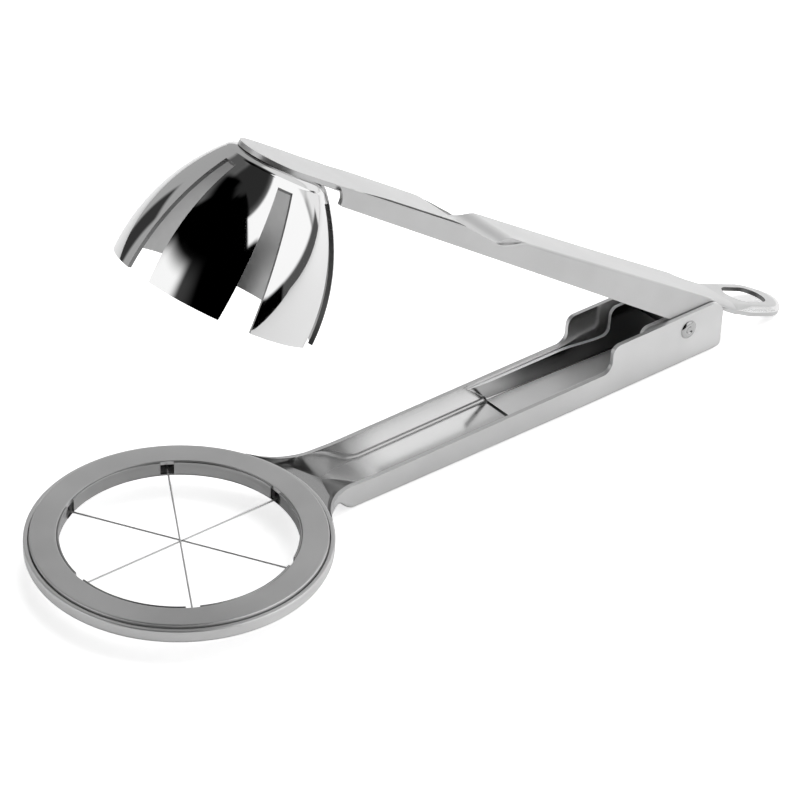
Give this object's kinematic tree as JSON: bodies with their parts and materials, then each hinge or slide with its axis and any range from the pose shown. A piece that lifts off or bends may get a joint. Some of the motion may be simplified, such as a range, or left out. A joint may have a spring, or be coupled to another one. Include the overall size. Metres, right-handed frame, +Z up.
{
  "type": "egg wedger",
  "caption": "Hinged steel egg wedger: a petalled cup on the upper arm pushes a boiled egg down through crossed wires strung in the lower arm's ring.",
  "frame": {"origin": "on the lower arm's underside, straight below the hinge axis, in the middle of the arm's width", "axes": "+X runs from the ring to the hinge and on to the hanging loop, +Z is up, +Y along the hinge axis; the rest pose is open, as on a table"},
  "size_m": [0.2088, 0.0654, 0.0948],
  "materials": {
    "arm_steel": "satin",
    "cover_steel": "satin",
    "inner_steel": "plain",
    "wire_steel": "drawn",
    "bracket_steel": "bright",
    "rivet_steel": "bright",
    "cup_steel": "mirror polished"
  },
  "bodies": {
    "lower": {"lower_arm": "arm_steel", "ring_cover": "cover_steel", "wire_carrier": "inner_steel", "wire_1": "wire_steel", "wire_2": "wire_steel", "wire_3": "wire_steel", "ferrule_1": "inner_steel", "ferrule_2": "inner_steel", "ferrule_3": "inner_steel", "ferrule_4": "inner_steel", "ferrule_5": "inner_steel", "ferrule_6": "inner_steel", "hinge_bracket": "bracket_steel", "pivot_rivet": "rivet_steel", "pivot_sleeve": "inner_steel"},
    "upper": {"upper_arm": "arm_steel", "cup": "cup_steel"}
  },
  "joints": [
    {"name": "arm_hinge", "type": "hinge", "parent": "lower", "child": "upper", "pos_m": [0, 0, 0.0095], "axis": [0, 1, 0], "range_deg": [-34, 0]}
  ]
}
